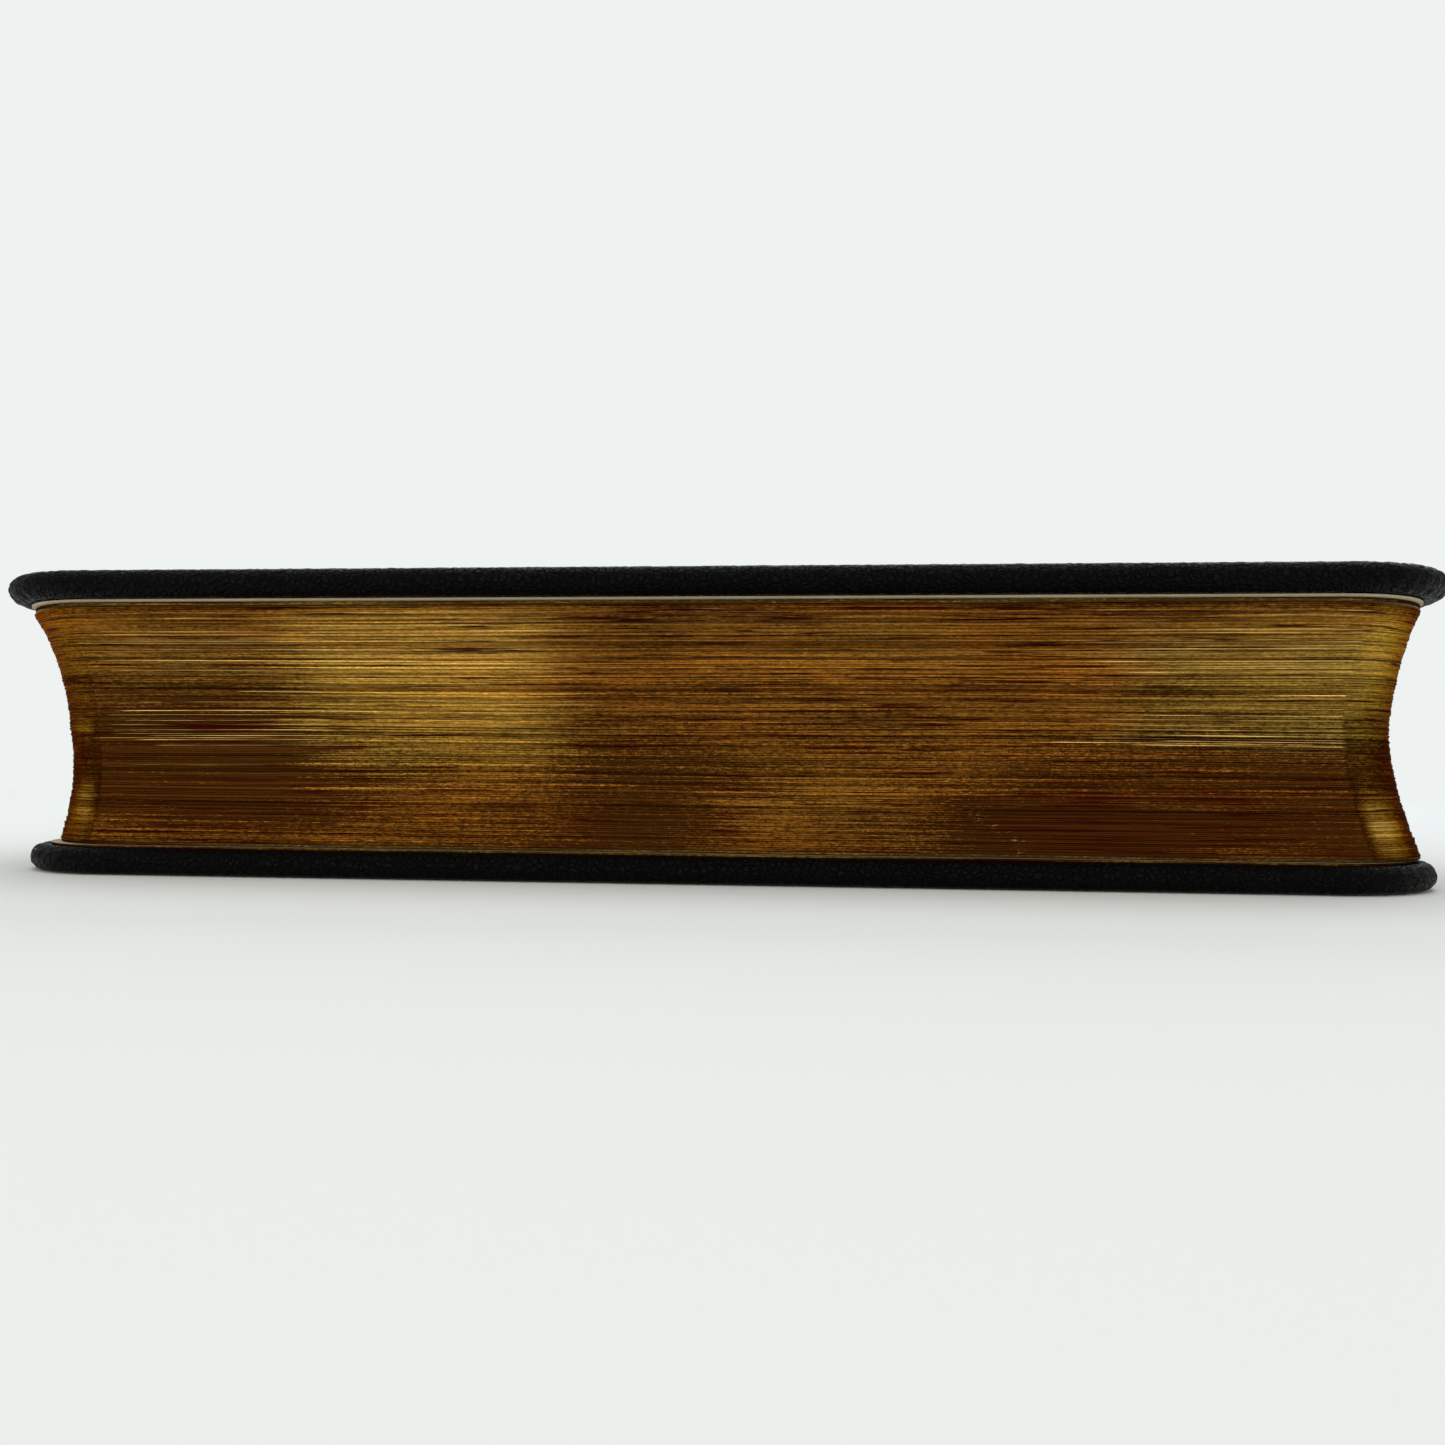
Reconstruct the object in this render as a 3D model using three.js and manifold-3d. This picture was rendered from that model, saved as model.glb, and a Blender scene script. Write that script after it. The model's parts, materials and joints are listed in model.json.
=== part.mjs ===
// A small leather-bound prayer book: sewn text block with a rounded spine, gilt edges and rounded corners.
// Millimetres, +Z up. The book lies on its back cover: X runs from tail to head, the fore-edge faces -Y.
// The origin is under the middle of the closed book, on the surface that it lies on.
import * as THREE from "three";
import { mergeVertices } from "three/addons/utils/BufferGeometryUtils.js";
import Module from "manifold-3d";

const wasm = await Module();
wasm.setup();

// ---- Driving dimensions ----
const coverLength = 146; // head to tail
const coverDepth = 96; // fore-edge to the back of the spine
const coverCornerRadius = 12.8;
const leatherThickness = 0.9;
const boardThickness = 1.4;
const turnInThickness = 0.4; // the leather is pared thin where it is folded in
const turnInWidth = 14;
const pastedownThickness = 0.2;
const pastedownMargin = 2; // leather left showing round the pastedown
const infillCornerRadius = 2;
const infillSink = 0.3; // how far the infill is set into the board

const leafLength = 142;
const leafCornerRadius = 11;
const foreEdgeSquare = 2.7; // how far the covers stand out past the top and bottom leaves
const blockThickness = 23.6;
const gatheringCount = 28;
const gatheringsPerTurn = 2; // gatherings that turn together as one bundle of leaves
const turningBundles = 7; // bundles in the front half that fan open
const roundness = 5; // how far the spine bulges, and the fore-edge is hollowed

const flyleafThickness = 0.2;
const spineDepth = 6.5; // from the shoulders to the back of the spine
const jointWidth = 6.9; // groove between a board and the spine
const jointGap = 0.3; // left between that groove and the shoulder
const jointGrooveDepth = 1.55;
const flexWidth = 8; // paper that bends beside the spine as leaves turn
const flyleafHingeFromFold = 0.7;
const leafHingeFromFold = 1.6;

const paperGap = 0.03; // between gatherings
const fitGap = 0.1; // between all other neighbours
const glueGap = fitGap / 2; // between pieces that are glued flat on each other
const slightGap = 0.02; // under the thinnest pieces

// Layers behind the folds, outwards: thread, mull, hollow, inlay. Each is [from, to] beyond the fold.
const threadLayer = [0.05, 0.35];
const mullLayer = [0.42, 0.68];
const hollowLayer = [0.75, 1.05];
const inlayLayer = [1.12, 1.72];
const threadStations = [-58, -29, 0, 29, 58];
const threadWidth = 1.2;
const mullLength = 122;
const hollowLength = 138;
const inlayLength = 144.6;
const spineClearance = 0.18; // between the inlay and the spine's leather
const layerMargin = 0.3; // the cloth and the hollow stop this far from the outermost leaves
const threadMargin = 0.6;
const inlayMargin = 0.1;
const bandRadius = 0.85; // end bands at head and tail
const bandMargin = 0.6;
const bandGap = 0.08; // between an end band and the ends of the leaves

// ---- Worked out from those ----
const plateThickness = leatherThickness + boardThickness + turnInThickness;
const turnInBase = plateThickness - turnInThickness;
const coverThickness = plateThickness + pastedownThickness;
const flyleafBase = coverThickness + fitGap;
const blockBase = flyleafBase + flyleafThickness + fitGap;
const blockTop = blockBase + blockThickness;
const bookHeight = blockTop + blockBase;
const middleZ = bookHeight / 2;
const pitch = blockThickness / gatheringCount;

const foreY = -coverDepth / 2;
const spineY = coverDepth / 2;
const innermostForeY = foreY + foreEdgeSquare + roundness;
const outermostFoldY = spineY - leatherThickness - spineClearance - inlayLayer[1];
const shoulderY = spineY - spineDepth;
const boardSpineY = shoulderY - jointGap - jointWidth;
const leafHingeY = outermostFoldY - roundness - leafHingeFromFold;
const leafInnerY = leafHingeY - flexWidth;

// The block is rounded: a leaf at height z sits this far from where the middle leaves sit.
const shiftAt = (z) => -roundness * ((z - middleZ) / (blockThickness / 2)) ** 2;
const foldAt = (z) => outermostFoldY + shiftAt(z);

// ---- Helpers ----
const leather = new THREE.MeshStandardMaterial({ color: 0x141415, roughness: 0.5, metalness: 0 });
const boardCard = new THREE.MeshStandardMaterial({ color: 0x8d8270, roughness: 0.9, metalness: 0 });
const endpaper = new THREE.MeshStandardMaterial({ color: 0xe8dfca, roughness: 0.85, metalness: 0 });
const giltLeaves = new THREE.MeshStandardMaterial({ color: 0xa9782c, roughness: 0.4, metalness: 0.6 });
const cloth = new THREE.MeshStandardMaterial({ color: 0xd9d2c0, roughness: 0.95, metalness: 0 });
const silk = new THREE.MeshStandardMaterial({ color: 0x8c1f24, roughness: 0.6, metalness: 0 });

const book = new THREE.Group();

function place(name, geometry, material) {
  const mesh = new THREE.Mesh(geometry, material);
  mesh.name = name;
  book.add(mesh);
  return mesh;
}

// The same piece on the front cover: the book is symmetrical about its middle leaf.
function placeMirrored(name, geometry, material) {
  const mesh = place(name, geometry, material);
  mesh.scale.z = -1;
  mesh.position.z = bookHeight;
  return mesh;
}

function solidFrom(geometry) {
  const bare = geometry.clone();
  bare.deleteAttribute("normal");
  bare.deleteAttribute("uv");
  const merged = mergeVertices(bare, 1e-4);
  const indices = merged.index.array;
  return new wasm.Manifold(
    new wasm.Mesh({
      numProp: 3,
      vertProperties: new Float32Array(merged.attributes.position.array),
      triVerts: new Uint32Array(indices),
    }),
  );
}

function geometryFrom(solid) {
  const mesh = solid.getMesh();
  const geometry = new THREE.BufferGeometry();
  geometry.setAttribute("position", new THREE.BufferAttribute(new Float32Array(mesh.vertProperties), 3));
  geometry.setIndex(new THREE.BufferAttribute(new Uint32Array(mesh.triVerts), 1));
  return geometry;
}

// A sheet's outline in X and Y: square at the spine side, its two fore-edge corners rounded.
function sheetOutline(length, fromY, toY, radius) {
  const half = length / 2;
  const outline = new THREE.Shape();
  outline.moveTo(-half, toY);
  outline.lineTo(-half, fromY + radius);
  outline.absarc(-half + radius, fromY + radius, radius, Math.PI, 1.5 * Math.PI, false);
  outline.lineTo(half - radius, fromY);
  outline.absarc(half - radius, fromY + radius, radius, 1.5 * Math.PI, 2 * Math.PI, false);
  outline.lineTo(half, toY);
  outline.closePath();
  return outline;
}

function slab(outline, fromZ, toZ, arcSteps = 6) {
  const geometry = new THREE.ExtrudeGeometry(outline, {
    depth: toZ - fromZ,
    bevelEnabled: false,
    curveSegments: arcSteps,
  });
  return geometry.translate(0, 0, fromZ);
}

// A section drawn in Y and Z, drawn out along X and centred on centreX.
function drawnAlongX(points, length, centreX = 0) {
  const section = new THREE.Shape(points.map(([y, z]) => new THREE.Vector2(y, z)));
  const geometry = new THREE.ExtrudeGeometry(section, { depth: length, bevelEnabled: false });
  const turn = new THREE.Matrix4().makeBasis(
    new THREE.Vector3(0, 1, 0),
    new THREE.Vector3(0, 0, 1),
    new THREE.Vector3(1, 0, 0),
  );
  return geometry.applyMatrix4(turn).translate(centreX - length / 2, 0, 0);
}

const steps = (from, to, count) => Array.from({ length: count + 1 }, (_, i) => from + ((to - from) * i) / count);

// ---- Text block ----
// One gathering is a slab, sheared so that the folds round the spine and hollow the fore-edge.
function gathering(number, toY) {
  const top = blockTop - (number - 1) * pitch - paperGap / 2;
  const base = top - pitch + paperGap;
  const lean = (shiftAt(top) - shiftAt(base)) / (top - base);
  const atMiddle = (shiftAt(top) + shiftAt(base)) / 2;
  const reach = toY === undefined ? outermostFoldY : toY - atMiddle - (Math.abs(lean) * (top - base)) / 2;
  const geometry = slab(sheetOutline(leafLength, innermostForeY, reach, leafCornerRadius), base, top);
  const shear = new THREE.Matrix4().set(1, 0, 0, 0, 0, 1, lean, shiftAt(base) - lean * base, 0, 0, 1, 0, 0, 0, 0, 1);
  return geometry.applyMatrix4(shear);
}

// The sewn folds of a bundle that turns: the strip beside the spine, which bends and stays sewn.
function bundleFolds(bundle) {
  const top = blockTop - (bundle - 1) * gatheringsPerTurn * pitch - paperGap / 2;
  const base = top - gatheringsPerTurn * pitch + paperGap;
  const backs = steps(base, top, 4).map((z) => [foldAt(z), z]);
  const front = leafInnerY + fitGap;
  return drawnAlongX([[front, base], ...backs, [front, top]], leafLength);
}

// A layer glued over the folds.
function spineLayer([from, to], length, margin, centreX = 0) {
  const heights = steps(blockBase + margin, blockTop - margin, 16);
  const outer = heights.map((z) => [foldAt(z) + to, z]);
  const inner = heights.map((z) => [foldAt(z) + from, z]).reverse();
  return drawnAlongX([...outer, ...inner], length, centreX);
}

// An end band: a cord along the folds, standing on the end of the leaves.
function endBand(side) {
  const margin = bandRadius + bandMargin;
  const run = steps(blockBase + margin, blockTop - margin, 14).map(
    (z) => new THREE.Vector3(side * (leafLength / 2 + bandRadius + bandGap), foldAt(z) - bandRadius, z),
  );
  const section = new THREE.Shape();
  section.absarc(0, 0, bandRadius, 0, 2 * Math.PI, false);
  return new THREE.ExtrudeGeometry(section, {
    steps: 20,
    curveSegments: 8,
    bevelEnabled: false,
    extrudePath: new THREE.CatmullRomCurve3(run),
  });
}

function buildTextBlock() {
  const turning = turningBundles * gatheringsPerTurn;
  for (let number = 1; number <= gatheringCount; number++) {
    const name = "gathering_" + String(number).padStart(2, "0");
    place(name, gathering(number, number <= turning ? leafInnerY : undefined), giltLeaves);
  }
  for (let bundle = 1; bundle <= turningBundles; bundle++) {
    place("sewn_folds_" + bundle, bundleFolds(bundle), giltLeaves);
  }
  threadStations.forEach((x, i) => {
    place("sewing_thread_" + (i + 1), spineLayer(threadLayer, threadWidth, threadMargin, x), cloth);
  });
  place("mull_cloth", spineLayer(mullLayer, mullLength, layerMargin), cloth);
  place("hollow_lining", spineLayer(hollowLayer, hollowLength, layerMargin), boardCard);
  place("spine_inlay", spineLayer(inlayLayer, inlayLength, inlayMargin), boardCard);
  place("head_band", endBand(1), silk);
  place("tail_band", endBand(-1), silk);
}

// ---- Covers, drawn as the back cover: outer face at Z 0 ----
function coverLeather() {
  const edgeRadius = plateThickness / 2;
  const excess = 6; // the plate is drawn past the joint and cut back to it
  const cutPast = 1; // how far a cutting solid reaches past what it cuts
  const inset = sheetOutline(
    coverLength - 2 * edgeRadius,
    foreY + edgeRadius,
    boardSpineY + excess,
    coverCornerRadius - edgeRadius,
  );
  const plate = new THREE.ExtrudeGeometry(inset, {
    depth: 0.001,
    bevelThickness: edgeRadius,
    bevelSize: edgeRadius,
    bevelSegments: 4,
    curveSegments: 8,
  }).translate(0, 0, edgeRadius);
  const farY = boardSpineY + 2 * excess;
  const lowZ = -cutPast;
  const highZ = plateThickness + cutPast;
  const beyond = drawnAlongX(
    [[boardSpineY, lowZ], [farY, lowZ], [farY, highZ], [boardSpineY, highZ]],
    coverLength + 2 * cutPast,
  );
  const room = slab(boardOutline(-glueGap, boardSpineY + cutPast), leatherThickness, turnInBase, 8);
  const windowRoom = slab(infillOutline(-glueGap, boardSpineY + cutPast), leatherThickness, highZ, 8);
  return geometryFrom(
    solidFrom(plate).subtract(solidFrom(beyond)).subtract(solidFrom(room)).subtract(solidFrom(windowRoom)),
  );
}

function boardOutline(inset, toY) {
  const edge = leatherThickness + fitGap + inset;
  return sheetOutline(coverLength - 2 * edge, foreY + edge, toY, coverCornerRadius - edge);
}

function infillOutline(inset, toY) {
  const edge = turnInWidth + inset;
  return sheetOutline(coverLength - 2 * edge, foreY + edge, toY, infillCornerRadius);
}

// The board with its infill, which fills the window that the turned-in leather leaves.
function coverBoard() {
  const face = turnInBase - glueGap;
  const board = slab(boardOutline(0, boardSpineY - fitGap), leatherThickness + glueGap, face, 8);
  const infill = slab(infillOutline(0, boardSpineY - fitGap), face - infillSink, plateThickness - glueGap, 8);
  return geometryFrom(solidFrom(board).add(solidFrom(infill)));
}

function pastedown() {
  const outline = sheetOutline(
    coverLength - 2 * pastedownMargin,
    foreY + pastedownMargin,
    boardSpineY - fitGap,
    coverCornerRadius - pastedownMargin,
  );
  return slab(outline, plateThickness + slightGap, coverThickness, 8);
}

const flyleafFoldY = foldAt(blockBase) - fitGap;
const flyleafInnerY = foldAt(blockBase) - flyleafHingeFromFold - flexWidth;

function flyleaf(toY) {
  const outline = sheetOutline(leafLength, foreY + foreEdgeSquare, toY, leafCornerRadius);
  return slab(outline, flyleafBase, flyleafBase + flyleafThickness);
}

// The strip of endpaper beside the spine, tipped to the block: it bends as the front flyleaf turns.
function endpaperHinge() {
  const from = flyleafInnerY + fitGap;
  const low = flyleafBase;
  const high = flyleafBase + flyleafThickness;
  return drawnAlongX([[from, low], [flyleafFoldY, low], [flyleafFoldY, high], [from, high]], leafLength);
}

// The leather of the spine, an arc from shoulder to shoulder.
const sagitta = spineY - shoulderY;
const spineRadius = (middleZ ** 2 + sagitta ** 2) / (2 * sagitta);
const spineCentreY = spineY - spineRadius;
const shoulderAngle = Math.asin(middleZ / spineRadius);

function spineLeather() {
  const arc = (radius) =>
    steps(-shoulderAngle, shoulderAngle, 20).map((a) => [
      spineCentreY + radius * Math.cos(a),
      middleZ + radius * Math.sin(a),
    ]);
  return drawnAlongX([...arc(spineRadius), ...arc(spineRadius - leatherThickness).reverse()], coverLength);
}

// The leather across the groove between board and spine, which bends as the cover opens.
function jointLeather() {
  const half = leatherThickness / 2;
  const from = boardSpineY + fitGap;
  const to = spineCentreY + (spineRadius - leatherThickness) * Math.cos(shoulderAngle) - fitGap;
  const groove = (t) => half + slightGap + jointGrooveDepth * Math.sin(Math.PI * t) ** 2;
  const run = steps(0, 1, 12).map((t) => [from + (to - from) * t, groove(t)]);
  const under = run.map(([y, z]) => [y, z - half]);
  const over = run.map(([y, z]) => [y, z + half]).reverse();
  return drawnAlongX([...under, ...over], coverLength);
}

function buildCovers() {
  const pieces = [
    ["leather", coverLeather(), leather],
    ["board", coverBoard(), boardCard],
    ["pastedown", pastedown(), endpaper],
    ["joint_leather", jointLeather(), leather],
  ];
  for (const [name, geometry, material] of pieces) {
    place("back_" + name, geometry, material);
    placeMirrored("front_" + name, geometry, material);
  }
  place("back_flyleaf", flyleaf(flyleafFoldY), endpaper);
  placeMirrored("front_flyleaf", flyleaf(flyleafInnerY), endpaper);
  placeMirrored("front_endpaper_hinge", endpaperHinge(), endpaper);
  place("spine_leather", spineLeather(), leather);
}

buildTextBlock();
buildCovers();

export default book;
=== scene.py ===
import json
import math

import bpy
import numpy as np
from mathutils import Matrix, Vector, noise


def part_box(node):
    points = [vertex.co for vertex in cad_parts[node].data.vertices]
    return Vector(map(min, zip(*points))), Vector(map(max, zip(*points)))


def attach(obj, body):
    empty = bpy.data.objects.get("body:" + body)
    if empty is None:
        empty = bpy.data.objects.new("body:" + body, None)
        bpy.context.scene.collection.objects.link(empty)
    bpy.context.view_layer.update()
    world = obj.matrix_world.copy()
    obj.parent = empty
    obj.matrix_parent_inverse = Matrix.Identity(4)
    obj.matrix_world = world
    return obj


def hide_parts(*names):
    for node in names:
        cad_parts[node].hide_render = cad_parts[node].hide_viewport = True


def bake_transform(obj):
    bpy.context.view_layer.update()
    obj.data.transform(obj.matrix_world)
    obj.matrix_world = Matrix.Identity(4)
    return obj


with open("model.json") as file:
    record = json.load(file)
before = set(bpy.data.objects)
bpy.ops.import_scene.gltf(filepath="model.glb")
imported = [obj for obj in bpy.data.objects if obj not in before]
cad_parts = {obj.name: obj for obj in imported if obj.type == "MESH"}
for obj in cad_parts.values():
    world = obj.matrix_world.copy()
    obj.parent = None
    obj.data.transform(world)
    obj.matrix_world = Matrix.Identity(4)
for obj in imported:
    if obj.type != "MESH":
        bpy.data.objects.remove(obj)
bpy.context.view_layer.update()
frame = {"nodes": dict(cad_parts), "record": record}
mm = 0.001  # shapes below are worked out in millimetres and made in metres


def boxOf(node):
    low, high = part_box(node)
    return np.array(low) / mm, np.array(high) / mm


# places taken from the frame, in mm
leafLow, leafHigh = boxOf("gathering_28")
blockBase = leafLow[2]
blockTop = boxOf("gathering_01")[1][2]
bookHeight = boxOf("spine_leather")[1][2]
middle = bookHeight / 2
leafHalf = leafHigh[0]
foldY = boxOf("gathering_15")[1][1]  # the outermost fold, at the middle of the block
coverHalf = boxOf("back_leather")[1][0]
foreY = boxOf("back_leather")[0][1]
boardEndY = boxOf("back_leather")[1][1]
spineY = boxOf("spine_leather")[1][1]
shoulderY = boxOf("back_joint_leather")[1][1] + 0.75
plate = boxOf("back_leather")[1][2]
flyInnerY = boxOf("front_flyleaf")[1][1]

gatheringCount = 28
turningCount = 14


def srgb(hexColour):
    out = []
    for i in (1, 3, 5):
        c = int(hexColour[i:i + 2], 16) / 255
        out.append(c / 12.92 if c <= 0.04045 else ((c + 0.055) / 1.055) ** 2.4)
    return (*out, 1.0)


def smoothstep(t):
    t = np.clip(t, 0, 1)
    return t * t * (3 - 2 * t)


def addObject(name, data):
    made = bpy.data.objects.new(name, data)
    bpy.context.scene.collection.objects.link(made)
    return made


# place in mm, angles in degrees
cameraSet = {"place": (14.69, -162.87, 11.71), "pitchDown": 6.11, "turnLeft": 5.33, "roll": -0.45,
             "lens": 30.2, "shiftUp": 0.118}


def buildCamera():
    data = bpy.data.cameras.new("camera")
    camera = addObject("camera", data)
    camera.location = Vector(cameraSet["place"]) * mm
    camera.rotation_euler = [math.radians(a) for a in
                             (90 - cameraSet["pitchDown"], cameraSet["roll"], cameraSet["turnLeft"])]
    data.lens = cameraSet["lens"]
    data.sensor_width = 36
    data.shift_y = cameraSet["shiftUp"]
    data.clip_start = 0.005
    data.clip_end = 50
    bpy.context.scene.camera = camera


buildCamera()
print("camera placed")


# a node stands for its first output
def fillInputs(tree, node, values):
    for key, value in values.items():
        if isinstance(value, bpy.types.Node):
            value = value.outputs[0]
        if isinstance(value, bpy.types.NodeSocket):
            tree.links.new(value, node.inputs[key])
        else:
            node.inputs[key].default_value = value


def addNode(tree, kind, links=None, stops=None, **settings):
    node = tree.nodes.new("ShaderNode" + kind)
    for key, value in settings.items():
        setattr(node, key, value)
    if stops:
        ramp = node.color_ramp
        while len(ramp.elements) < len(stops):
            ramp.elements.new(0.5)
        for element, (place, colour) in zip(ramp.elements, stops):
            element.position = place
            element.color = srgb(colour)
    fillInputs(tree, node, links or {})
    return node


def newMaterial(name):
    material = bpy.data.materials.new(name)
    material.use_nodes = True
    tree = material.node_tree
    shader = tree.nodes["Principled BSDF"]
    return material, tree, shader


# where the surface lay when the book was closed, in mm, so a pattern stays on its leaf as it turns
def restPlace(tree, stretch=(1, 1, 1)):
    place = addNode(tree, "Attribute", attribute_name="restPlace").outputs["Vector"]
    scale = tuple(s / mm for s in stretch)
    return addNode(tree, "VectorMath", {0: place, 1: scale}, operation="MULTIPLY")


def objectPlace(tree):
    place = addNode(tree, "TexCoord").outputs["Object"]
    return addNode(tree, "VectorMath", {0: place, 1: (1 / mm, 1 / mm, 1 / mm)}, operation="MULTIPLY")


leatherSet = {
    "pebble": 0.42,
    "wrinkle": 3.0,
    "dark": "#020203",
    "light": "#080809",
    # grey of rubbed leather, also used for the painted rim highlight on the covers' edges
    "rubbedAndLitGrey": "#6E6C68",
    "roughness": (0.5, 0.26),  # in the creases, then on the crests
}


# Goatskin, dyed black, boarded to a pebble grain and polished by hands: small shiny crests, dull creases,
# and edges rubbed grey in specks; the same grey is also painted along the rounded rim near each cover's
# outer face as a painted rim highlight.
def goatskinMaterial():
    material, tree, shader = newMaterial("goatskin")
    place = restPlace(tree)
    drift = addNode(tree, "TexNoise", {"Vector": place, "Scale": 0.9, "Detail": 2.0})
    bent = addNode(tree, "MixRGB", {"Fac": 0.28, 1: place, 2: drift.outputs["Color"]}, blend_type="ADD")
    pebbles = addNode(tree, "TexVoronoi",
                      {"Vector": bent, "Scale": 1 / leatherSet["pebble"], "Smoothness": 0.6},
                      feature="SMOOTH_F1")
    creases = addNode(tree, "TexVoronoi",
                      {"Vector": bent, "Scale": 1 / (1.5 * leatherSet["pebble"])},
                      feature="DISTANCE_TO_EDGE")
    creaseEdge = addNode(tree, "MapRange", {0: creases, 1: 0.0, 2: 0.18})
    folds = addNode(tree, "TexNoise",
                    {"Vector": place, "Scale": 1 / leatherSet["wrinkle"], "Detail": 3.0})
    pores = addNode(tree, "TexNoise", {"Vector": place, "Scale": 9.0, "Detail": 2.0})
    crest = addNode(tree, "Math", {0: creaseEdge, 1: pebbles}, operation="SUBTRACT")
    height = addNode(tree, "Math", {0: folds, 1: 0.5, 2: crest}, operation="MULTIPLY_ADD")
    fine = addNode(tree, "Math", {0: pores, 1: 0.22, 2: height}, operation="MULTIPLY_ADD")
    bump = addNode(tree, "Bump", {"Strength": 0.85, "Distance": 0.11 * mm, "Height": fine})
    colour = addNode(tree, "ValToRGB", {"Fac": crest},
                     stops=[(0.1, leatherSet["dark"]), (0.8, leatherSet["light"])])
    # this mark holds real rubbing at edges, corners and spine ends, plus a painted rim highlight on the
    # covers' edges
    wearAndRimSheen = addNode(tree, "Attribute", attribute_name="wearAndRimSheen")
    patches = addNode(tree, "Math", {0: wearAndRimSheen.outputs["Fac"], 1: pores}, operation="MULTIPLY")
    rubbedAndHighlit = addNode(tree, "MapRange", {0: patches, 1: 0.22, 2: 0.6, 3: 0.0, 4: 0.75})
    shown = addNode(tree, "MixRGB", {"Fac": rubbedAndHighlit, 1: colour, 2: srgb(leatherSet["rubbedAndLitGrey"])})
    polish = addNode(tree, "MapRange", {0: crest, 1: 0.0, 2: 0.9, 3: leatherSet["roughness"][0],
                                                  4: leatherSet["roughness"][1]})
    fillInputs(tree, shader, {"Base Color": shown, "Roughness": polish,
                              "Normal": bump, "IOR": 1.42, "Specular IOR Level": 0.06})
    return material


giltSet = {
    "gold": ("#3C2A0C", "#9E7D32", "#E3B555", "#FFE9A8"),
    "copper": ("#47260B", "#A5671F", "#E49838", "#F8CC80"),
    # painted highlight: the pale colour of leaf edges that catch the light
    "glint": "#F4D07C",
    "red": "#3A0903",
    "grazing": "#A87A48",  # dull, brown shine where the edge is seen almost along its surface
    "patterns": {  # waves per mm along X, Y and Z, detail, roughness, and share of the brightness
        "streaks": ((0.07, 0.07, 5.0), 4.0, 0.6, 0.58),
        "specks": ((1.7, 1.7, 6.0), 3.0, 0.7, 0.82),
        "grains": ((4.0, 4.0, 9.0), 2.0, 0.6, 0.50),
        "clouds": ((0.06, 0.06, 0.2), 4.0, 0.5, 0.30),
        "partings": ((0.06, 0.06, 3.0), 3.0, 0.6, 0),
        "cracks": ((0.07, 0.07, 3.4), 5.0, 0.62, 0),
    },
    "toneShare": 0.035,
    "balance": -1.10,  # takes off the patterns' average, each about one half
    "warmFrom": (0.4, 1.4),
    "glintFrom": (1.25, 1.7),
    "crackFrom": (0.565, 0.61),
    "roughness": (0.5, 0.36),  # where dark, then where bright
    "scuffFrom": (9.0, 26.5),  # a scuff runs down across the leaves between these places along X and Z
    "scuffTo": (31.0, 5.0),
    "scuffWidth": (0.1, 0.9),
}
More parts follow.
